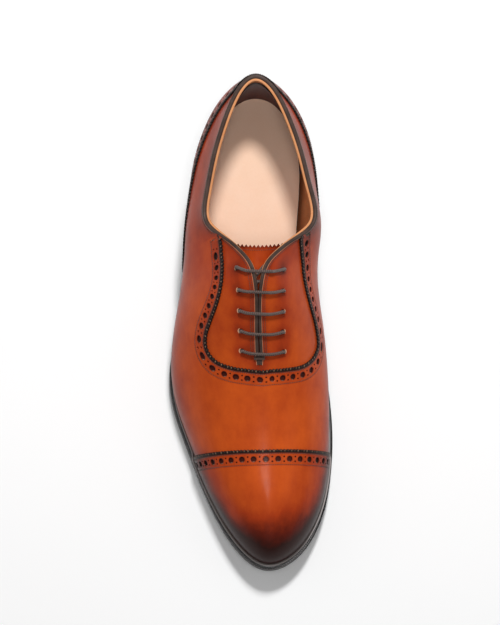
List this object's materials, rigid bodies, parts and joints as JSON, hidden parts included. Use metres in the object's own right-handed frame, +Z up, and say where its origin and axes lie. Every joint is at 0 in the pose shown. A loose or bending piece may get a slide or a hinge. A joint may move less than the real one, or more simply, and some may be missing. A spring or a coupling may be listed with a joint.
{
  "type": "oxford shoe",
  "caption": "Right leather oxford shoe with closed lacing, punched toe cap, welted leather sole and stacked heel.",
  "frame": {"origin": "centre of the bounding box in plan, on the ground under the sole", "axes": "+X towards the inner side of the foot, +Y towards the heel, +Z up; the toe points along -Y"},
  "size_m": [0.1008, 0.3005, 0.0995],
  "materials": {
    "outer_leather": "burnished, waxed gloss",
    "binding_leather": "satin",
    "lining_leather": "matte",
    "grip_leather": "suede",
    "sock_leather": "matte",
    "sole_leather": "matte",
    "edge_black": "polished edge ink",
    "textile": "matte",
    "board": "matte",
    "lace_cord": "waxed",
    "thread": "waxed",
    "aglet_tip": "gloss",
    "eyelet_metal": "satin",
    "cork": "matte",
    "shank_steel": "satin",
    "rubber_black": "matte",
    "nail_brass": "satin"
  },
  "bodies": {
    "shoe": {"vamp": "outer_leather", "facing_lateral": "outer_leather", "facing_medial": "outer_leather", "toe_cap": "outer_leather", "heel_counter": "outer_leather", "topline_binding": "binding_leather", "interlining": "textile", "heel_stiffener": "board", "toe_puff": "board", "quarter_lining": "lining_leather", "vamp_lining": "lining_leather", "facing_lining_lateral": "lining_leather", "facing_lining_medial": "lining_leather", "heel_grip": "grip_leather", "lace": "lace_cord", "aglet_1": "aglet_tip", "aglet_2": "aglet_tip", "bar_tack": "thread", "hidden_eyelets": "eyelet_metal", "insole": "board", "sock": "sock_leather", "cork_filler": "cork", "shank_board": "board", "shank": "shank_steel", "welt": "edge_black", "heel_rand": "edge_black", "outsole": "sole_leather", "heel_lift_1": "edge_black", "heel_lift_2": "edge_black", "heel_lift_3": "edge_black", "top_piece": "sole_leather", "rubber_corner": "rubber_black", "heel_nails": "nail_brass"},
    "tongue": {"tongue": "outer_leather"}
  },
  "joints": [
    {"name": "tongue_hinge", "type": "hinge", "parent": "shoe", "child": "tongue", "pos_m": [0.004, -0.0328, 0.062], "axis": [-1, 0, 0], "range_deg": [0, 12], "stiffness_Nm_per_rad": 0.1, "springref_deg": -1.72}
  ]
}
